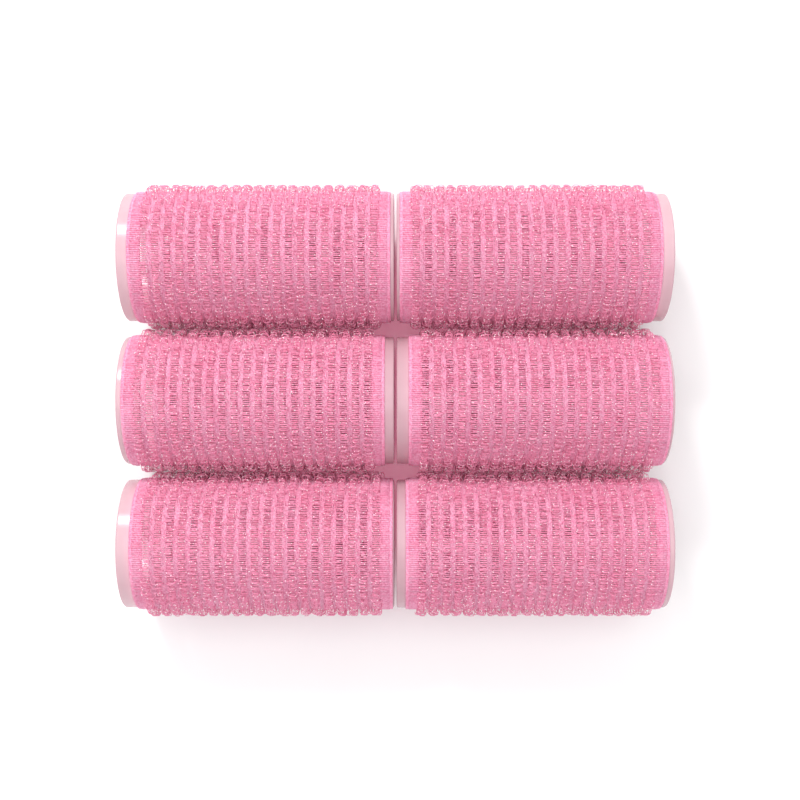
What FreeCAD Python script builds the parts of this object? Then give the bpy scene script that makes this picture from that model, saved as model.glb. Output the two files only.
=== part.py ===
"""A set of six self-grip hair rollers, lying in three rows of two.

Millimetres. +X runs along the rollers, +Y from the front row to the rear row and +Z up.
The origin is on the surface that the set lies on, under the middle of the set.
Each roller is a moulded grid tube (the core), a woven sleeve stretched over it, and the
pile of hooks that the sleeve carries. Nothing joins one roller to the next.
"""

import FreeCAD
import Part

import math
import os

import Sketcher

# Driving dimensions, in millimetres except for the counts: alias, value and meaning.
DIMENSIONS = (
    ("core_length", "63.5", "length of the moulded core"),
    ("core_outer", "15.2", "outer radius of the core"),
    ("core_inner", "14.0", "inner radius of the core"),
    ("rim_round", "0.35", "rounding of both edges of each rim"),
    ("window_count", "10", "windows in one line along the core"),
    ("window_pitch", "5.5", "from one window to the next along the core"),
    ("window_length", "3.0", "size of a window along the core"),
    ("window_width", "9.1", "size of a window across the core"),
    ("window_corner", "0.7", "corner radius of a window"),
    ("window_lines", "8", "lines of windows around the core"),
    ("sleeve_length", "60.2", "length of the woven sleeve"),
    ("sleeve_inner", "15.25", "inner radius of the stretched sleeve"),
    ("sleeve_outer", "15.7", "outer radius of the stretched sleeve"),
    ("selvedge", "3.1", "plain edge of the sleeve, which carries no hooks"),
    ("hook_foot", "15.75", "radius at the foot of the hooks"),
    ("hook_tip", "17.0", "radius over the tips of the hooks"),
    ("row_gap", "0.2", "gap between the hooks of one row and the next"),
    ("column_gap", "0.6", "gap between the cores of a row, end to end"),
)

# The rollers: name, column (-1 left, 1 right), row (1 rear, -1 front), the turn of the
# core about its length in degrees, and how far along it the sleeve sits off its middle.
ROLLERS = (
    ("rear_left", -1, 1, -6.5, 0.85),
    ("rear_right", 1, 1, 11.1, -1.0),
    ("middle_left", -1, 0, -0.5, -0.45),
    ("middle_right", 1, 0, 17.5, 1.1),
    ("front_left", -1, -1, 8.5, 1.4),
    ("front_right", 1, -1, 16.5, 0.4),
)

ALONG = FreeCAD.Vector(1, 0, 0)
UP = FreeCAD.Vector(0, 0, 1)
QUARTERS = ((1, 1), (-1, 1), (-1, -1), (1, -1))
SKETCH_ORIGIN = (-1, 1)
START, END, CENTRE = 1, 2, 3


def make_sheet(doc):
    """The spreadsheet that holds the driving dimensions, one row each."""
    sheet = doc.addObject("Spreadsheet::Sheet", "Dims")
    for row, (alias, value, meaning) in enumerate(DIMENSIONS, start=1):
        sheet.set(f"A{row}", meaning)
        sheet.set(f"B{row}", value)
        sheet.setAlias(f"B{row}", alias)
    doc.recompute()
    return sheet


def origin_part(body, role):
    """One of a body's own origin planes or axes, found by its role."""
    return next(item for item in body.Origin.OriginFeatures if item.Role == role)


def make_sketch(body, suffix, role):
    """An empty sketch on one of a body's own origin planes."""
    sketch = body.newObject("Sketcher::SketchObject", f"{body.Name}_{suffix}")
    sketch.AttachmentSupport = [(origin_part(body, role), "")]
    sketch.MapMode = "FlatFace"
    return sketch


def constrain(sketch, kind, *what, size=None):
    """Adds a constraint, with its size tied to an expression of the sheet if it has one."""
    number = sketch.addConstraint(Sketcher.Constraint(kind, *what))
    if size is not None:
        sketch.setExpression(f"Constraints[{number}]", size)


def add_circle(sketch, sheet, alias):
    """A circle about the sketch's origin, with its radius in the sheet."""
    radius = sheet.get(alias)
    circle = sketch.addGeometry(Part.Circle(FreeCAD.Vector(), UP, radius), False)
    constrain(sketch, "Coincident", circle, CENTRE, *SKETCH_ORIGIN)
    constrain(sketch, "Radius", circle, radius, size=f"Dims.{alias}")


def add_rounded_rectangle(sketch, sheet):
    """The outline of one window of the core, about the sketch's origin."""
    corner = sheet.window_corner
    reach_x = sheet.window_length / 2 - corner
    reach_y = sheet.window_width / 2 - corner
    arcs = []
    for number, (side_x, side_y) in enumerate(QUARTERS):
        centre = FreeCAD.Vector(side_x * reach_x, side_y * reach_y, 0)
        begin = number * math.pi / 2
        arc = Part.ArcOfCircle(Part.Circle(centre, UP, corner), begin, begin + math.pi / 2)
        arcs.append(sketch.addGeometry(arc, False))
    for number, arc in enumerate(arcs):
        following = arcs[(number + 1) % len(arcs)]
        side = Part.LineSegment(sketch.getPoint(arc, END), sketch.getPoint(following, START))
        side = sketch.addGeometry(side, False)
        constrain(sketch, "Tangent", arc, END, side, START)
        constrain(sketch, "Tangent", side, END, following, START)
        constrain(sketch, ("Horizontal", "Vertical")[number % 2], side)
    for arc in arcs[1:]:
        constrain(sketch, "Equal", arcs[0], arc)
    low, high = arcs[2], arcs[0]
    constrain(sketch, "Symmetric", low, CENTRE, high, CENTRE, *SKETCH_ORIGIN)
    constrain(sketch, "Radius", high, corner, size="Dims.window_corner")
    constrain(sketch, "DistanceX", low, CENTRE, high, CENTRE, 2 * reach_x,
              size="Dims.window_length - 2 * Dims.window_corner")
    constrain(sketch, "DistanceY", low, CENTRE, high, CENTRE, 2 * reach_y,
              size="Dims.window_width - 2 * Dims.window_corner")


def add_tube(body, sheet, outer, inner, length):
    """A tube along the body's X axis, to both sides of its origin."""
    ring = make_sketch(body, "ring", "YZ_Plane")
    add_circle(ring, sheet, outer)
    add_circle(ring, sheet, inner)
    tube = body.newObject("PartDesign::Pad", f"{body.Name}_tube")
    tube.Profile = ring
    tube.SideType = "Symmetric"
    tube.setExpression("Length", length)
    return tube


def round_rims(body, tube):
    """Rounds the edges at both ends of a tube, inside and outside."""
    rounded = body.newObject("PartDesign::Fillet", f"{body.Name}_rims")
    circles = [f"Edge{number}" for number, edge in enumerate(tube.Shape.Edges, start=1)
               if isinstance(edge.Curve, Part.Circle)]
    rounded.Base = (tube, circles)
    rounded.setExpression("Radius", "Dims.rim_round")


def cut_windows(body, sheet):
    """Cuts one window through the wall and repeats it along and around the core."""
    outline = make_sketch(body, "window", "XY_Plane")
    add_rounded_rectangle(outline, sheet)
    outline.setExpression("AttachmentOffset.Base.x",
                          "-Dims.window_pitch * (Dims.window_count - 1) / 2")
    window = body.newObject("PartDesign::Pocket", f"{body.Name}_cut")
    window.Profile = outline
    window.Type = "ThroughAll"
    window.Reversed = True
    line = body.newObject("PartDesign::LinearPattern", f"{body.Name}_line")
    line.Direction = (origin_part(body, "X_Axis"), [""])
    line.Mode = "Spacing"
    line.setExpression("Offset", "Dims.window_pitch")
    line.setExpression("Occurrences", "Dims.window_count")
    around = body.newObject("PartDesign::PolarPattern", f"{body.Name}_around")
    around.Axis = (origin_part(body, "X_Axis"), [""])
    around.Angle = 360
    around.setExpression("Occurrences", "Dims.window_lines")
    grid = body.newObject("PartDesign::MultiTransform", f"{body.Name}_grid")
    grid.Originals = [window]
    grid.Transformations = [line, around]
    return grid


def make_core(body, sheet):
    """The moulded core: a tube with rounded rims and lines of windows in its wall."""
    tube = add_tube(body, sheet, "core_outer", "core_inner", "Dims.core_length")
    body.Document.recompute()
    round_rims(body, tube)
    body.Tip = cut_windows(body, sheet)


def make_sleeve(body, sheet):
    """The woven sleeve: a plain closed tube of the stretched cloth's thickness."""
    add_tube(body, sheet, "sleeve_outer", "sleeve_inner", "Dims.sleeve_length")


def make_hooks(body, sheet):
    """The space that the hooks fill, from one selvedge to the other."""
    add_tube(body, sheet, "hook_tip", "hook_foot", "Dims.sleeve_length - 2 * Dims.selvedge")


def make_piece(doc, sheet, name, build):
    """One of the three pieces that every roller has, drawn about its own middle."""
    body = doc.addObject("PartDesign::Body", name)
    build(body, sheet)
    return body


def lay(doc, body, roller):
    """One roller's copy of a piece, laid on the surface in its row and column."""
    name, column, row, turn, shift = roller
    piece = doc.addObject("App::Link", f"{name}_{body.Name}")
    piece.Label = f"{name}_{body.Name}"
    piece.LinkedObject = body
    on_core = body.Name == "core"
    turned = FreeCAD.Rotation(ALONG, turn if on_core else 0)
    piece.Placement = FreeCAD.Placement(FreeCAD.Vector(), turned)
    slid = 0 if on_core else shift
    piece.setExpression("Placement.Base.x",
                        f"{column} * (Dims.core_length + Dims.column_gap) / 2 + {slid}")
    piece.setExpression("Placement.Base.y", f"{row} * (2 * Dims.hook_tip + Dims.row_gap)")
    piece.setExpression("Placement.Base.z", "Dims.hook_tip")
    return piece


def check(doc, pieces):
    """Stops if an object of the document failed or a piece isn't one valid solid."""
    failed = [item.Name for item in doc.Objects if {"Invalid", "Error"} & set(item.State)]
    if failed:
        raise RuntimeError(f"failed objects: {failed}")
    for piece in pieces:
        shape = Part.getShape(piece)
        if shape.isNull() or not shape.isValid() or len(shape.Solids) != 1:
            raise RuntimeError(f"{piece.Label} isn't one valid solid")


def check_windows(body, sheet):
    """Stops if the windows didn't take away about what their sizes say."""
    tube = math.pi * (sheet.core_outer**2 - sheet.core_inner**2) * sheet.core_length
    wall = sheet.core_outer - sheet.core_inner
    window = sheet.window_length * sheet.window_width * wall
    expected = tube - sheet.window_count * sheet.window_lines * window
    if abs(body.Shape.Volume / expected - 1) > 0.1:
        raise RuntimeError(f"{body.Label}: {body.Shape.Volume:.0f} mm3, not {expected:.0f}")


def main():
    """Draws the three pieces, lays six rollers, and writes one STEP file for each piece."""
    doc = FreeCAD.newDocument("HairRollers")
    sheet = make_sheet(doc)
    core = make_piece(doc, sheet, "core", make_core)
    sleeve = make_piece(doc, sheet, "woven_sleeve", make_sleeve)
    hooks = make_piece(doc, sheet, "hooks", make_hooks)
    pieces = [lay(doc, body, roller) for roller in ROLLERS for body in (core, sleeve, hooks)]
    doc.recompute()
    check(doc, pieces)
    check_windows(core, sheet)
    os.makedirs("parts", exist_ok=True)
    for piece in pieces:
        shape = Part.getShape(piece)
        shape.exportStep(f"parts/{piece.Label}.step")
        print(f"{piece.Label}: {shape.Volume:.0f} mm3 at {shape.BoundBox.Center}")


main()
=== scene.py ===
"""Dresses a set of six self-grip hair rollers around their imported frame.

Every length is in metres in the frame's own axes: +X along the rollers, +Y from the front
row to the rear row, +Z up. A roller is a moulded core, which stays as the frame has it, a
woven sleeve whose threads are real geometry, and a pile of monofilament hooks.
"""

from __future__ import annotations

import logging
import math
from collections.abc import Iterable
from dataclasses import dataclass, field
from enum import Enum

import bpy
import numpy as np
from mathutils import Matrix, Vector

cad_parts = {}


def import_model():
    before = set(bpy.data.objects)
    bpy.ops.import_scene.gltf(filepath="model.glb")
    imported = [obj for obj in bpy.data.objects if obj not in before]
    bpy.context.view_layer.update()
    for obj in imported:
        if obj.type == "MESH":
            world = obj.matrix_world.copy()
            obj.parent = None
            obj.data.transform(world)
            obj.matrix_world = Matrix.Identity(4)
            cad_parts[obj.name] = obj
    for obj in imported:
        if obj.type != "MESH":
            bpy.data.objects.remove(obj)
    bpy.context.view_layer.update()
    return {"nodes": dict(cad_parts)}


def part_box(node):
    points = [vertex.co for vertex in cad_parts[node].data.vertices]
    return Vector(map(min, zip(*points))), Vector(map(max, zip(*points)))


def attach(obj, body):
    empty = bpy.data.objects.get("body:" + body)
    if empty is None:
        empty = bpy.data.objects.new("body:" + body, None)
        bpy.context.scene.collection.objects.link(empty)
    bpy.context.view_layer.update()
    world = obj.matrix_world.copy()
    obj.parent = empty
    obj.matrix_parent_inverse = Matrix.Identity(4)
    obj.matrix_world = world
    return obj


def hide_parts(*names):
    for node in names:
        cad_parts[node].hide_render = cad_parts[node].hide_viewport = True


MM = 0.001
TURN = 2 * math.pi

# The face attribute that marks the bends where the filament's finish paints a glint: a painted
# highlight, almost white.
PAINTED_GLINT_ATTRIBUTE = "painted_glint"

# Three piles are drawn. Rollers that stand three apart in the list of places share one.
PILE_SEEDS = (5, 6, 7)

log = logging.getLogger("rollers")


class Place(Enum):
    """The six places in the set. Each value is the name of the roller's body."""

    REAR_LEFT = "rear_left"
    REAR_RIGHT = "rear_right"
    MIDDLE_LEFT = "middle_left"
    MIDDLE_RIGHT = "middle_right"
    FRONT_LEFT = "front_left"
    FRONT_RIGHT = "front_right"


@dataclass(frozen=True)
class HookOutline:
    """A hook seen side on: how far across it goes, in reaches, and how high, in heights."""

    across: tuple[float, ...]
    up: tuple[float, ...]


class Tip(Enum):
    """How a hook ends: still a whole arch, or cut open into a hook. Values are outlines."""

    ARCH = HookOutline(
        across=(-0.92, -1.0, -0.88, -0.66, 0.0, 0.66, 0.88, 1.0, 0.92),
        up=(0.0, 0.5, 0.84, 0.96, 1.0, 0.96, 0.84, 0.5, 0.0),
    )
    HOOK = HookOutline(
        across=(-0.92, -1.0, -0.88, -0.66, -0.1, 0.45, 0.7, 0.82, 0.84),
        up=(0.0, 0.5, 0.84, 0.96, 1.0, 0.97, 0.87, 0.72, 0.55),
    )


# ---------------------------------------------------------------- meshes


@dataclass
class MeshParts:
    """Collects points and faces of several closed shapes, and makes one mesh of them."""

    points: list[np.ndarray] = field(default_factory=list)
    faces: list[np.ndarray] = field(default_factory=list)
    count: int = 0

    def add(self, points: np.ndarray, faces: np.ndarray) -> None:
        """Adds a shape.

        Args:
            points: One row of three coordinates for each point.
            faces: Rows of four point numbers, counted from this shape's first point.
        """
        self.points.append(points)
        self.faces.append(faces + self.count)
        self.count += len(points)

    def add_grid(self, grid: np.ndarray, close_rows: bool, close_columns: bool) -> None:
        """Adds a sheet of quads through a grid of points.

        Args:
            grid: Points as an array of rows, columns and three coordinates.
            close_rows: Whether the last row joins the first.
            close_columns: Whether the last column joins the first.
        """
        rows, columns = grid.shape[:2]
        number = np.arange(rows * columns).reshape(rows, columns)
        if close_rows:
            number = np.vstack([number, number[:1]])
        if close_columns:
            number = np.hstack([number, number[:, :1]])
        corners = (number[:-1, :-1], number[1:, :-1], number[1:, 1:], number[:-1, 1:])
        self.add(grid.reshape(-1, 3), np.stack(corners, axis=-1).reshape(-1, 4))

    def add_threads(self, paths: np.ndarray, radius: np.ndarray, sides: int) -> None:
        """Adds round threads along paths that all have the same number of points.

        Args:
            paths: Points as an array of threads, points along and three coordinates.
            radius: The radius at each point along, the same for every thread.
            sides: How many sides each thread's section has, an even number.
        """
        along = np.gradient(paths, axis=1)
        along /= np.linalg.norm(along, axis=2, keepdims=True)
        # A section's first corner lies in the direction around the roller's axis.
        side = np.cross([1.0, 0.0, 0.0], paths)
        side -= along * np.sum(side * along, axis=2, keepdims=True)
        side /= np.linalg.norm(side, axis=2, keepdims=True)
        up = np.cross(along, side)
        angle = (np.arange(sides) * TURN / sides)[:, None]
        ring = side[:, :, None] * np.cos(angle) + up[:, :, None] * np.sin(angle)
        tube = paths[:, :, None] + ring * radius[None, :, None, None]
        threads, steps = paths.shape[:2]
        number = np.arange(threads * steps * sides).reshape(threads, steps, sides)
        after = np.roll(number, -1, axis=2)
        walls = np.stack((number[:, :-1], after[:, :-1], after[:, 1:], number[:, 1:]), axis=-1)
        # Each end is closed by quads that all share the section's first corner.
        ends = [
            ring_numbers[:, [0, corner, corner + 1, corner + 2]][:, ::way]
            for ring_numbers, way in ((number[:, 0], -1), (number[:, -1], 1))
            for corner in range(1, sides - 2, 2)
        ]
        self.add(tube.reshape(-1, 3), np.concatenate([walls.reshape(-1, 4), *ends]))

    def mesh(self, name: str) -> bpy.types.Mesh:
        """Makes the mesh, shaded smooth, with normals that point outward.

        Args:
            name: The mesh's name.

        Returns:
            The new mesh.
        """
        mesh = bpy.data.meshes.new(name)
        points = np.concatenate(self.points)
        faces = np.concatenate(self.faces)
        mesh.from_pydata(points, [], faces)
        mesh.shade_smooth()
        mesh.update()
        return mesh


def around(axial: np.ndarray, radius: np.ndarray, angle: np.ndarray) -> np.ndarray:
    """Points at places along the X axis, distances from it and angles about it."""
    return np.stack([axial, radius * np.sin(angle), radius * np.cos(angle)], axis=-1)


# ---------------------------------------------------------------- finishes


def linear(colour: str) -> tuple[float, float, float, float]:
    """Turns an sRGB hex colour into the linear values that shaders take.

    Args:
        colour: A colour such as "#f2a7c3".

    Returns:
        Red, green, blue and an alpha of one.
    """
    levels = [int(colour[i : i + 2], 16) / 255 for i in (1, 3, 5)]
    red, green, blue = (
        level / 12.92 if level <= 0.04045 else ((level + 0.055) / 1.055) ** 2.4
        for level in levels
    )
    return red, green, blue, 1.0


def add_node(
    tree: bpy.types.NodeTree,
    kind: str,
    settings: dict[str, object] | None = None,
    values: dict[str | int, object] | None = None,
    links: dict[str | int, bpy.types.NodeSocket] | None = None,
) -> bpy.types.Node:
    """Adds a shader node.

    Args:
        tree: The material's node tree.
        kind: The node's type, without its ShaderNode prefix.
        settings: Attributes of the node.
        values: Values for its input sockets, by socket name or number.
        links: Output sockets that feed its inputs, by input socket name or number.

    Returns:
        The new node.
    """
    node = tree.nodes.new(f"ShaderNode{kind}")
    for name, value in (settings or {}).items():
        setattr(node, name, value)
    for name, value in (values or {}).items():
        node.inputs[name].default_value = value
    for name, socket in (links or {}).items():
        tree.links.new(socket, node.inputs[name])
    return node


def new_material(name: str) -> tuple[bpy.types.Material, bpy.types.NodeTree]:
    """Makes a material whose node tree is still empty.

    Args:
        name: The material's name.

    Returns:
        The material and its node tree.
    """
    material = bpy.data.materials.new(name)
    material.use_nodes = True
    tree = material.node_tree
    tree.nodes.clear()
    return material, tree


def finish_with(tree: bpy.types.NodeTree, shader: bpy.types.Node) -> None:
    """Joins a shader node to the material's output."""
    add_node(tree, "OutputMaterial", links={"Surface": shader.outputs[0]})


@dataclass(frozen=True)
class ClearPolypropylene:
    """Clear polypropylene, injection moulded: a little milky, with a soft gloss.

    Its bare collars look almost white. The grid between them lies under the pink sleeve, and its
    pink is painted light: the pink that the sleeve passes onto the clear plastic is painted into
    its colour, which is also made lighter to make up for the shade under the sleeve. The change
    is set by how far a point is from the core's middle, where the core's half length is 0.5.
    """

    collar: str = "#dfb9c3"
    # The grid's colour is painted light: pink light from the sleeve, lightened against its
    # shade.
    grid: str = "#ffc6d8"
    milk: str = "#ecdde1"
    alpha: float = 0.72
    ior: float = 1.49
    roughness: float = 0.22
    gloss_spread: tuple[float, float] = (0.7, 1.4)
    flow_mark_mm: float = 9.0
    flow_bump: float = 0.25
    flow_depth_mm: float = 0.1
    grid_ends_at: float = 0.42
    collar_starts_at: float = 0.485

    def collar_share(
        self, tree: bpy.types.NodeTree, place: bpy.types.Node
    ) -> bpy.types.NodeSocket:
        """How near a point is to a bare end of the core.

        Args:
            tree: The material's node tree.
            place: Its texture coordinates.

        Returns:
            A socket that is 0 on the grid and 1 on the collars.
        """
        # Generated coordinates run from 0 to 1 along the core, so its middle is at 0.5.
        along = add_node(tree, "SeparateXYZ", links={"Vector": place.outputs["Generated"]})
        offset = add_node(
            tree, "Math", {"operation": "SUBTRACT"}, {1: 0.5}, {0: along.outputs["X"]}
        )
        distance = add_node(
            tree, "Math", {"operation": "ABSOLUTE"}, links={0: offset.outputs[0]}
        )
        share = add_node(
            tree,
            "MapRange",
            {"interpolation_type": "SMOOTHSTEP"},
            {"From Min": self.grid_ends_at, "From Max": self.collar_starts_at},
            {"Value": distance.outputs[0]},
        )
        return share.outputs["Result"]

    def material(self) -> bpy.types.Material:
        """Makes the core's plastic: its flow marks give slow changes in gloss and tint.

        Returns:
            The material.
        """
        material, tree = new_material("moulded_clear_polypropylene")
        place = add_node(tree, "TexCoord")
        flow = add_node(
            tree,
            "TexNoise",
            values={"Scale": 1 / (self.flow_mark_mm * MM), "Detail": 3.0},
            links={"Vector": place.outputs["Object"]},
        )
        # Painted pink light on the grid under the sleeve, and the plastic's own pale tint on the
        # collars.
        tint_with_painted_pink_light = add_node(
            tree,
            "Mix",
            {"data_type": "RGBA"},
            {"A": linear(self.grid), "B": linear(self.collar)},
            {"Factor": self.collar_share(tree, place)},
        )
        colour = add_node(
            tree,
            "Mix",
            {"data_type": "RGBA", "blend_type": "MULTIPLY"},
            {"B": linear(self.milk)},
            {"Factor": flow.outputs["Fac"], "A": tint_with_painted_pink_light.outputs["Result"]},
        )
        gloss = add_node(
            tree,
            "MapRange",
            values={
                "To Min": self.roughness * self.gloss_spread[0],
                "To Max": self.roughness * self.gloss_spread[1],
            },
            links={"Value": flow.outputs["Fac"]},
        )
        bump = add_node(
            tree,
            "Bump",
            values={"Strength": self.flow_bump, "Distance": self.flow_depth_mm * MM},
            links={"Height": flow.outputs["Fac"]},
        )
        shader = add_node(
            tree,
            "BsdfPrincipled",
            values={"Alpha": self.alpha, "IOR": self.ior},
            links={
                "Base Color": colour.outputs["Result"],
                "Roughness": gloss.outputs["Result"],
                "Normal": bump.outputs["Normal"],
            },
        )
        finish_with(tree, shader)
        return material


@dataclass(frozen=True)
class WovenNylon:
    """Dyed nylon yarn, woven plain: soft satin threads whose shade varies along them.

    Light sinks a little way into the yarn, so its shadows are pink instead of grey. The
    shade changes about every yarn's width. It also changes slowly over the cloth, which is
    stretched more in some places than in others.
    """

    light: str = "#f4a6c5"
    deep: str = "#e57fa3"
    ior: float = 1.53
    roughness: float = 0.6
    yarn_mm: float = 0.45
    yarn_bump: float = 0.5
    yarn_depth_mm: float = 0.05
    stretch_mm: float = 7.0
    stretch_weight: float = 0.3
    shade_range: tuple[float, float] = (0.5, 0.8)
    sheen: float = 0.15
    sheen_roughness: float = 0.4
    sheen_tint: str = "#ffe3ee"
    translucency: float = 0.5
    light_path_mm: float = 0.35

    def material(self) -> bpy.types.Material:
        """Makes the sleeve's cloth: shade by the yarn and by how far the cloth is stretched.

        Returns:
            The material.
        """
        material, tree = new_material("woven_pink_nylon")
        place = add_node(tree, "TexCoord")
        yarn = add_node(
            tree,
            "TexNoise",
            values={"Scale": 1 / (self.yarn_mm * MM), "Detail": 2.0},
            links={"Vector": place.outputs["Object"]},
        )
        stretch = add_node(
            tree,
            "TexNoise",
            values={"Scale": 1 / (self.stretch_mm * MM), "Detail": 1.0},
            links={"Vector": place.outputs["Object"]},
        )
        both = add_node(
            tree,
            "Math",
            {"operation": "MULTIPLY_ADD"},
            {1: self.stretch_weight},
            {0: stretch.outputs["Fac"], 2: yarn.outputs["Fac"]},
        )
        share = add_node(
            tree,
            "MapRange",
            values={"From Min": self.shade_range[0], "From Max": self.shade_range[1]},
            links={"Value": both.outputs[0]},
        )
        colour = add_node(
            tree,
            "Mix",
            {"data_type": "RGBA"},
            {"A": linear(self.deep), "B": linear(self.light)},
            {"Factor": share.outputs["Result"]},
        )
        bump = add_node(
            tree,
            "Bump",
            values={"Strength": self.yarn_bump, "Distance": self.yarn_depth_mm * MM},
            links={"Height": yarn.outputs["Fac"]},
        )
        shader = add_node(
            tree,
            "BsdfPrincipled",
            values={
                "Roughness": self.roughness,
                "IOR": self.ior,
                "Subsurface Weight": self.translucency,
                "Subsurface Radius": (1.0, 1.0, 1.0),
                "Subsurface Scale": self.light_path_mm * MM,
                "Sheen Weight": self.sheen,
                "Sheen Roughness": self.sheen_roughness,
                "Sheen Tint": linear(self.sheen_tint),
            },
            links={"Base Color": colour.outputs["Result"], "Normal": bump.outputs["Normal"]},
        )
        finish_with(tree, shader)
        return material


@dataclass(frozen=True)
class NylonMonofilament:
    """Extruded nylon monofilament: hard and glossy, and as pink as the cloth it stands in.

    Some of its sharp bends are painted almost white. This painted highlight is what glitters on
    the rollers.
    """

    light: str = "#f4acc8"
    deep: str = "#e5789e"
    # The colour of the painted highlight on the marked bends, which stands for their glint.
    painted_glint: str = "#fff2f6"
    ior: float = 1.53
    roughness: float = 0.1
    batch_mm: float = 2.3

    def material(self) -> bpy.types.Material:
        """Makes the hooks' filament: pink, and almost white at the bends that are marked.

        Returns:
            The material.
        """
        material, tree = new_material("extruded_nylon_monofilament")
        place = add_node(tree, "TexCoord")
        batch = add_node(
            tree,
            "TexNoise",
            values={"Scale": 1 / (self.batch_mm * MM), "Detail": 1.0},
            links={"Vector": place.outputs["Object"]},
        )
        dye = add_node(
            tree,
            "Mix",
            {"data_type": "RGBA"},
            {"A": linear(self.deep), "B": linear(self.light)},
            {"Factor": batch.outputs["Fac"]},
        )
        painted_glint_mask = add_node(tree, "Attribute", {"attribute_name": PAINTED_GLINT_ATTRIBUTE})
        # Painted highlight: the marked bends are painted almost white, as a glint.
        colour = add_node(
            tree,
            "Mix",
            {"data_type": "RGBA"},
            {"B": linear(self.painted_glint)},
            {"Factor": painted_glint_mask.outputs["Fac"], "A": dye.outputs["Result"]},
        )
        shader = add_node(
            tree,
            "BsdfPrincipled",
            values={"Roughness": self.roughness, "IOR": self.ior},
            links={"Base Color": colour.outputs["Result"]},
        )
        finish_with(tree, shader)
        return material


@dataclass(frozen=True)
class OpalAcrylic:
    """Cast opal acrylic with a satin face: an even white table that hides its own texture.

    Under the set it glows a dull pink, which shows in the gaps between the rollers. This glow is
    painted pink light, which stands for the light that the rollers pass down onto the table. The
    glow fades out inside the set's outline. It belongs to the table, so it stays there when a
    roller is lifted.
    """

    colour: str = "#f6f5f6"
    thin: str = "#fcfcfc"
    cloud_mm: float = 45.0
    roughness: float = 0.6
    gloss: float = 0.1
    # Painted pink light: the colour of the glow that stands for light passed through the
    # rollers.
    painted_pink_glow: str = "#d8789a"
    glow_strength: float = 0.36
    glow_reach: tuple[float, float] = (62 * MM, 49 * MM)
    glow_fades_from: float = 0.6

    def material(self) -> bpy.types.Material:
        """Makes the table's white, a little uneven, and the pink under the rollers.

        Returns:
            The material.
        """
        material, tree = new_material("opal_acrylic")
        place = add_node(tree, "TexCoord")
        cloud = add_node(
            tree,
            "TexNoise",
            values={"Scale": 1 / (self.cloud_mm * MM), "Detail": 2.0},
            links={"Vector": place.outputs["Object"]},
        )
        colour = add_node(
            tree,
            "Mix",
            {"data_type": "RGBA"},
            {"A": linear(self.colour), "B": linear(self.thin)},
            {"Factor": cloud.outputs["Fac"]},
        )
        reach = add_node(
            tree,
            "Mapping",
            values={"Scale": (1 / self.glow_reach[0], 1 / self.glow_reach[1], 1.0)},
            links={"Vector": place.outputs["Object"]},
        )
        distance = add_node(
            tree, "VectorMath", {"operation": "LENGTH"}, links={0: reach.outputs["Vector"]}
        )
        # The painted glow, strongest under the middle of the set and fading towards its outline.
        painted_pink_glow = add_node(
            tree,
            "MapRange",
            {"interpolation_type": "SMOOTHSTEP"},
            {"From Min": self.glow_fades_from, "To Min": self.glow_strength, "To Max": 0.0},
            {"Value": distance.outputs["Value"]},
        )
        shader = add_node(
            tree,
            "BsdfPrincipled",
            values={
                "Roughness": self.roughness,
                "Specular IOR Level": self.gloss,
                "Emission Color": linear(self.painted_pink_glow),
            },
            links={
                "Base Color": colour.outputs["Result"],
                "Emission Strength": painted_pink_glow.outputs["Result"],
            },
        )
        finish_with(tree, shader)
        return material


# ---------------------------------------------------------------- the roller


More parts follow.
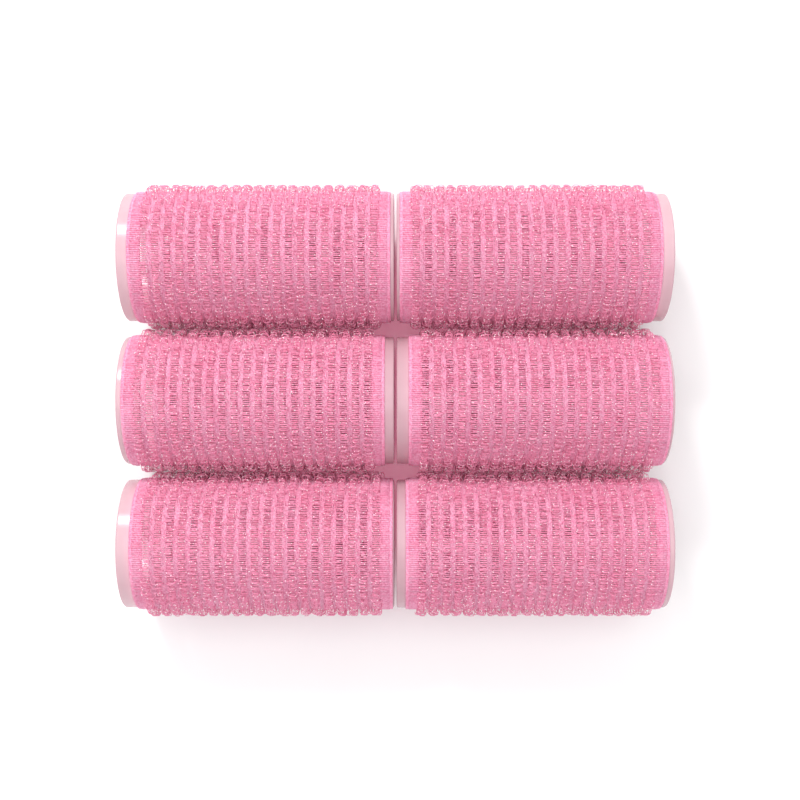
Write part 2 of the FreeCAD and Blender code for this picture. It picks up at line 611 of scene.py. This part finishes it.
@dataclass
class WovenSleeve:
    """The cloth: open strips crossed by bare weft threads, between dense bands.

    It is drawn about its own middle, with its length along X. Sizes that are shares say of
    what: a weft's spacing, the crimp (how far a band's yarns rise and fall) or a band's width.
    """

    length: float
    outer_radius: float
    strips: int = 20
    strip_pitch: float = 2.76 * MM
    strip_width: float = 1.5 * MM
    wefts: int = 198
    weft_radius: float = 0.155 * MM
    weft_sides: int = 6
    weft_depth: float = 0.2 * MM
    weft_rise: float = 0.02 * MM
    weft_wander_in_spacings: float = 0.06
    thickness: float = 0.42 * MM
    yarns_in_band: int = 3
    crimp: float = 0.11 * MM
    groove_in_crimps: float = 0.6
    band_noise_in_crimps: float = 0.1
    band_sway_in_crimps: float = 0.25
    band_foot_in_widths: float = 0.42
    selvedge_depth_in_crimps: float = 2.2
    selvedge_rib_in_crimps: float = 0.7
    selvedge_noise_in_crimps: float = 0.06
    seed: int = 11

    # The selvedge's section: places along it as shares of its width, from the end of the
    # sleeve inward, with their heights in crimps, and the two places of its inner face.
    SELVEDGE_ALONG = np.array([1.0, 0.97, 0.8, 0.6, 0.4, 0.2, 0.03, 0.0])
    SELVEDGE_UP = np.array([-2.0, 0.0, 0.3, 0.1, 0.3, 0.1, 0.0, -2.0])
    SELVEDGE_INSIDE = np.array([0.02, 0.98])

    @property
    def strip_middles(self) -> np.ndarray:
        """Where the open strips lie along the sleeve."""
        return (np.arange(self.strips) - (self.strips - 1) / 2) * self.strip_pitch

    @property
    def weft_radius_from_axis(self) -> float:
        """How far the weft threads run from the roller's axis."""
        return self.outer_radius - self.weft_depth

    @property
    def flat_size(self) -> tuple[float, float]:
        """The size the sleeve was cut to: its length, and once around its middle."""
        return self.length, TURN * self.weft_radius_from_axis

    def add_wefts(self, parts: MeshParts, chance: np.random.Generator) -> None:
        """Adds the weft threads, which run the whole length and wander a little.

        Args:
            parts: The mesh being made.
            chance: The sleeve's random numbers.
        """
        steps = 2 * self.strips + 1
        axial = np.linspace(-1, 1, steps) * (self.length / 2 - self.strip_width / 2)
        angle = (np.arange(self.wefts)[:, None] + 0.5) * TURN / self.wefts
        shape = (self.wefts, steps)
        wander = chance.normal(0, self.weft_wander_in_spacings, shape) * TURN / self.wefts
        radius = self.weft_radius_from_axis + chance.normal(0, self.weft_rise, angle.shape)
        paths = around(
            np.broadcast_to(axial, shape), np.broadcast_to(radius, shape), angle + wander
        )
        parts.add_threads(paths, np.full(steps, self.weft_radius), self.weft_sides)

    def add_band(self, parts: MeshParts, middle: float, chance: np.random.Generator) -> None:
        """Adds a dense band: yarns side by side around the sleeve, over and under the wefts.

        Args:
            parts: The mesh being made.
            middle: Where the band lies along the sleeve.
            chance: The sleeve's random numbers.
        """
        width = self.strip_pitch - self.strip_width
        count = 2 * self.wefts
        turn = np.arange(count)
        lines = 2 * self.yarns_in_band + 1
        across = np.linspace(0.5, -0.5, lines) * width
        # Odd lines are the yarns' crests, and even ones the grooves between yarns.
        crest = np.where(np.arange(lines) % 2 == 1, 1.0, 0.0)
        parity = np.where((np.arange(lines) // 2) % 2 == 0, 1.0, -1.0)
        # A yarn goes over one weft and under the next, and its neighbours do the opposite.
        wave = np.cos(turn[:, None] * math.pi / 2) * parity
        top = self.outer_radius - self.crimp
        groove = (crest - 1) * self.groove_in_crimps * self.crimp
        outer = top + crest * self.crimp * (1 + wave) + groove
        outer = outer + chance.normal(0, self.band_noise_in_crimps * self.crimp, outer.shape)
        inner = np.full((count, 2), self.outer_radius - self.thickness)
        radius = np.hstack([outer, inner])
        foot = np.array([-self.band_foot_in_widths, self.band_foot_in_widths]) * width
        sway = chance.normal(0, self.band_sway_in_crimps * self.crimp, (count, 1))
        axial = middle + np.concatenate([across, foot]) + sway
        angle = np.broadcast_to((turn * TURN / count)[:, None], radius.shape)
        parts.add_grid(around(axial, radius, angle), close_rows=True, close_columns=True)

    def add_selvedge(self, parts: MeshParts, side: int, chance: np.random.Generator) -> None:
        """Adds a plain selvedge, whose wefts show as fine ribs along the sleeve.

        Args:
            parts: The mesh being made.
            side: 1 for the end at +X, -1 for the other.
            chance: The sleeve's random numbers.
        """
        start = self.strip_middles[-1] + self.strip_width / 2
        end = self.length / 2
        count = 4 * self.wefts
        turn = np.arange(count)
        crown = self.SELVEDGE_UP * self.crimp
        wave = np.cos(turn[:, None] * math.pi / 2 + math.pi)
        rib = wave * self.selvedge_rib_in_crimps * self.crimp
        face = self.outer_radius - self.selvedge_depth_in_crimps * self.crimp
        # The two edges of the section run plain: only its face is ribbed.
        outer = face + crown + rib * (crown > -self.crimp)
        outer = outer + chance.normal(0, self.selvedge_noise_in_crimps * self.crimp, outer.shape)
        inner = np.full((count, 2), self.outer_radius - self.thickness)
        radius = np.hstack([outer, inner])
        section = np.concatenate([self.SELVEDGE_ALONG, self.SELVEDGE_INSIDE])
        axial = start + section * (end - start)
        if side < 0:
            # The section is mirrored and its order turned round, which keeps its faces outward.
            axial = -axial[::-1]
            radius = np.hstack([outer[:, ::-1], inner])
            axial = np.concatenate([axial[2:], axial[:2]])
        angle = np.broadcast_to((turn * TURN / count)[:, None], radius.shape)
        axial = np.broadcast_to(axial, radius.shape)
        parts.add_grid(around(axial, radius, angle), close_rows=True, close_columns=True)

    def build(self) -> bpy.types.Mesh:
        """Makes the sleeve's mesh.

        Returns:
            The mesh, with the wefts, the bands and the two selvedges in it.
        """
        chance = np.random.default_rng(self.seed)
        parts = MeshParts()
        self.add_wefts(parts, chance)
        middles = self.strip_middles
        for middle in (middles[:-1] + middles[1:]) / 2:
            self.add_band(parts, middle, chance)
        for side in (1, -1):
            self.add_selvedge(parts, side, chance)
        return parts.mesh("woven_sleeve_threads")


@dataclass
class HookPile:
    """The hooks: monofilament arches over each open strip, most of them cut open.

    It is drawn about its own middle, with the sleeve's length along X. The noises are
    standard deviations: of a hook's spacing in rows, its twist in radians, its lean in heights
    and its place along the roller in strip pitches.
    """

    sleeve: WovenSleeve
    table_radius: float
    proud: float = 0.3 * MM
    rows: int = 72
    hooks_in_cell: int = 2
    filament_radius: float = 0.065 * MM
    filament_sides: int = 4
    table_gap_in_radii: float = 1.6
    reach: float = 0.85 * MM
    reach_range: tuple[float, float] = (0.8, 1.1)
    height_range: tuple[float, float] = (0.74, 1.0)
    cut_share: float = 0.65
    turned_share: float = 0.15
    # The share of bends that get a painted glint.
    painted_glint_share: float = 0.34
    spacing_noise: float = 0.12
    twist_noise: float = 0.2
    lean_noise: float = 0.15
    stray_noise: float = 0.13
    seed: int = 5

    # Which of an outline's lengths are its two sharp bends, and how thick the filament is
    # drawn at each point, in radii: thicker at the bends.
    BENDS = np.array([0, 0, 1, 0, 0, 1, 0, 0])
    THICKNESS = np.array([1.0, 1.0, 1.5, 1.5, 1.0, 1.5, 1.5, 1.0, 1.0])

    # More than 60 degrees from straight down the table is out of a hook's reach, so the
    # cosine of that angle is the least one used.
    LEAST_COSINE = 0.5

    @property
    def layout(self) -> tuple[int, int, int]:
        """The number of strips, of rows around the roller, and of hooks in a cell."""
        return self.sleeve.strips, self.rows, self.hooks_in_cell

    @property
    def count(self) -> int:
        """How many hooks there are."""
        return math.prod(self.layout)

    def roots(self, chance: np.random.Generator) -> tuple[np.ndarray, np.ndarray]:
        """Where the hooks stand: evenly around each strip, and a little off.

        Args:
            chance: The pile's random numbers.

        Returns:
            Each hook's place along the roller and its angle around it.
        """
        strip = np.broadcast_to(self.sleeve.strip_middles[:, None, None], self.layout).ravel()
        within = np.arange(self.hooks_in_cell) / self.hooks_in_cell
        cell = (np.arange(self.rows)[:, None] + within) / self.rows
        angle = np.broadcast_to(cell * TURN, self.layout).ravel()
        return strip, angle + chance.normal(0, self.spacing_noise, self.count) * TURN / self.rows

    def ways(self, chance: np.random.Generator) -> np.ndarray:
        """Which way each hook faces: the two of a cell face apart, but for a few.

        Args:
            chance: The pile's random numbers.

        Returns:
            1 or -1 for each hook.
        """
        by_turns = np.where(np.arange(self.hooks_in_cell) % 2 == 0, 1, -1)
        way = np.broadcast_to(by_turns, self.layout).ravel()
        return way * np.where(chance.random(self.count) < self.turned_share, -1, 1)

    def outlines(self, chance: np.random.Generator) -> tuple[np.ndarray, np.ndarray]:
        """Each hook's own outline, whole or cut open.

        Args:
            chance: The pile's random numbers.

        Returns:
            For each hook, how far across its points are, in metres, and how high, in heights.
        """
        cut = (chance.random(self.count) < self.cut_share)[:, None]
        reach = self.reach * chance.uniform(*self.reach_range, (self.count, 1))
        across = np.where(cut, Tip.HOOK.value.across, Tip.ARCH.value.across) * reach
        return across, np.where(cut, Tip.HOOK.value.up, Tip.ARCH.value.up)

    def above_table(self, radius: np.ndarray, angle: np.ndarray) -> np.ndarray:
        """Presses hooks flat where they would go through the table.

        Args:
            radius: How far the hooks' points are from the roller's axis.
            angle: Their angles about it.

        Returns:
            The distances from the axis, shortened where they have to be.
        """
        downward = np.maximum(-np.cos(angle), self.LEAST_COSINE)
        lowest = self.table_radius - self.table_gap_in_radii * self.filament_radius
        return np.minimum(radius, lowest / downward)

    def paths(self, chance: np.random.Generator) -> np.ndarray:
        """The hooks' middle lines: every hook a little different in lean, twist and height.

        Args:
            chance: The pile's random numbers.

        Returns:
            Points as an array of hooks, points along and three coordinates.
        """
        strip, angle = self.roots(chance)
        way = self.ways(chance)
        across, up = self.outlines(chance)
        root = self.sleeve.weft_radius_from_axis
        tallest = self.table_radius + self.proud - self.filament_radius - root
        height = tallest * chance.uniform(*self.height_range, (self.count, 1))
        twist = chance.normal(0, self.twist_noise, (self.count, 1))
        lean = chance.normal(0, self.lean_noise, (self.count, 1))
        stray = chance.normal(0, self.stray_noise, (self.count, 1)) * self.sleeve.strip_pitch
        axial = strip[:, None] + stray + across * np.cos(twist) * way[:, None]
        radius = root + up * height
        aside = across * np.sin(twist) + lean * up * height
        angle = angle[:, None] + aside / radius
        return around(axial, self.above_table(radius, angle), angle)

    def paint_glints(self, mesh: bpy.types.Mesh, chance: np.random.Generator) -> None:
        """Marks the sharp bends that glint, for the filament's finish.

        Args:
            mesh: The pile's mesh, whose first faces are the hooks' walls in order.
            chance: The pile's random numbers.
        """
        painted_glint = mesh.attributes.new(PAINTED_GLINT_ATTRIBUTE, "FLOAT", "FACE")
        # The chosen bends get a painted glint: the finish paints them almost white.
        painted_glints = chance.random((self.count, len(self.BENDS))) < self.painted_glint_share
        walls = self.BENDS * painted_glints
        share = np.zeros(len(mesh.polygons))
        share[: walls.size * self.filament_sides] = np.repeat(walls.ravel(), self.filament_sides)
        painted_glint.data.foreach_set("value", share)

    def build(self) -> bpy.types.Mesh:
        """Makes the pile's mesh.

        Returns:
            The mesh, with the bends that get a painted glint marked.
        """
        chance = np.random.default_rng(self.seed)
        parts = MeshParts()
        thickness = self.THICKNESS * self.filament_radius
        parts.add_threads(self.paths(chance), thickness, self.filament_sides)
        mesh = parts.mesh(f"hook_pile_{self.seed}")
        self.paint_glints(mesh, chance)
        return mesh


@dataclass
class Roller:
    """One roller: its core from the frame, and the sleeve and hooks that dress it."""

    place: Place

    def node(self, piece: str) -> str:
        """The name of one of this roller's nodes."""
        return f"{self.place.value}_{piece}"

    def middle(self, piece: str) -> Vector:
        """The middle of one of this roller's nodes."""
        low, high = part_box(self.node(piece))
        return (Vector(low) + Vector(high)) / 2

    def dress_core(
        self, nodes: dict[str, bpy.types.Object], plastic: bpy.types.Material
    ) -> None:
        """Gives the moulded core its plastic. Its shape stays as the frame has it.

        Args:
            nodes: The frame's objects, by node name.
            plastic: The core's finish.
        """
        core = nodes[self.node("core")]
        for slot in core.material_slots:
            slot.link = "OBJECT"
            slot.material = plastic
        log.info("%s: dressed", core.name)

    def add_piece(
        self, piece: str, ending: str, mesh: bpy.types.Mesh, material: bpy.types.Material
    ) -> bpy.types.Object:
        """Adds a soft piece over the node that it stands for.

        Args:
            piece: The node's name without the roller's.
            ending: What the new object's name has after the node's.
            mesh: The piece's mesh, drawn about its own middle.
            material: Its finish.

        Returns:
            The new object.
        """
        name = f"{self.node(piece)}_{ending}"
        thing = bpy.data.objects.new(name, mesh)
        bpy.context.collection.objects.link(thing)
        # Several rollers share one mesh, and it takes its finish only once.
        if not mesh.materials:
            mesh.materials.append(material)
        thing.location = self.middle(piece)
        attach(thing, self.place.value)
        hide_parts(self.node(piece))
        log.info("%s: %d faces", name, len(mesh.polygons))
        return thing


# ---------------------------------------------------------------- the studio


@dataclass
class SoftBox:
    """A soft lamp: a square panel that faces the rollers."""

    name: str
    place: tuple[float, float, float]
    side: float
    power: float
    colour: str

    def build(self, aim: Vector) -> None:
        """Hangs the lamp and turns it to what it lights.

        Args:
            aim: The point that the panel faces.
        """
        data = bpy.data.lights.new(self.name, "AREA")
        data.shape = "SQUARE"
        data.size = self.side
        data.energy = self.power
        data.color = linear(self.colour)[:3]
        lamp = bpy.data.objects.new(self.name, data)
        bpy.context.collection.objects.link(lamp)
        lamp.location = self.place
        lamp.rotation_euler = (aim - lamp.location).to_track_quat("-Z", "Y").to_euler()


@dataclass
class Studio:
    """A white table, soft light from the rear left and overhead, and a camera straight above."""

    axis_height: float
    camera_height: float = 0.300
    camera_aside: tuple[float, float] = (1.08 * MM, 0.1 * MM)
    lens_mm: float = 56.34
    sensor_mm: float = 36.0
    camera_clip: float = 0.01
    floor_side: float = 4.0
    sky: float = 0.86
    sky_colour: str = "#ffffff"
    lamps: tuple[SoftBox, ...] = (
        SoftBox("key", place=(-0.22, 0.50, 0.50), side=0.15, power=2.9, colour="#fffdfb"),
        SoftBox("overhead", place=(0.0, 0.05, 0.90), side=0.7, power=2.7, colour="#ffffff"),
    )

    def build_floor(self) -> None:
        """Lays the table that the rollers lie on."""
        half = self.floor_side / 2
        mesh = bpy.data.meshes.new("table")
        corners = [(-half, -half, 0), (half, -half, 0), (half, half, 0), (-half, half, 0)]
        mesh.from_pydata(corners, [], [(0, 1, 2, 3)])
        mesh.materials.append(OpalAcrylic().material())
        table = bpy.data.objects.new("table", mesh)
        bpy.context.collection.objects.link(table)

    def build_light(self) -> None:
        """Sets the white surroundings and hangs the lamps."""
        world = bpy.data.worlds.new("white_room")
        world.use_nodes = True
        background = world.node_tree.nodes["Background"]
        background.inputs["Strength"].default_value = self.sky
        background.inputs["Color"].default_value = linear(self.sky_colour)
        bpy.context.scene.world = world
        for lamp in self.lamps:
            lamp.build(Vector((0, 0, self.axis_height)))

    def build_camera(self) -> None:
        """Hangs the camera above the set, looking straight down."""
        data = bpy.data.cameras.new("camera")
        data.sensor_width = self.sensor_mm
        data.lens = self.lens_mm
        data.clip_start = self.camera_clip
        camera = bpy.data.objects.new("camera", data)
        bpy.context.collection.objects.link(camera)
        camera.location = (*self.camera_aside, self.axis_height + self.camera_height)
        bpy.context.scene.camera = camera

    def build(self) -> None:
        """Makes the floor, the light and the camera."""
        self.build_floor()
        self.build_light()
        self.build_camera()
        bpy.context.scene.view_settings.view_transform = "Standard"


def main() -> None:
    """Loads the frame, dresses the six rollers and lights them."""
    logging.basicConfig(level=logging.INFO, format="%(message)s")
    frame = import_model()

    rollers = [Roller(place) for place in Place]
    low, high = (Vector(corner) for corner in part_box(rollers[0].node("woven_sleeve")))
    sleeve = WovenSleeve(length=high.x - low.x, outer_radius=(high.z - low.z) / 2)
    tip_low, tip_high = (Vector(corner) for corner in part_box(rollers[0].node("hooks")))
    tip_radius = (tip_high.z - tip_low.z) / 2
    sleeve_mesh = sleeve.build()
    piles = [HookPile(sleeve, tip_radius, seed=seed).build() for seed in PILE_SEEDS]

    plastic = ClearPolypropylene().material()
    nylon = WovenNylon().material()
    filament = NylonMonofilament().material()
    for number, roller in enumerate(rollers):
        roller.dress_core(frame["nodes"], plastic)
        cloth = roller.add_piece("woven_sleeve", "cloth", sleeve_mesh, nylon)
        pile = roller.add_piece("hooks", "pile", piles[number % len(piles)], filament)
        roller.node("core")

    Studio(axis_height=tip_radius).build()
    bpy.context.view_layer.update()


if __name__ == "__main__":
    main()
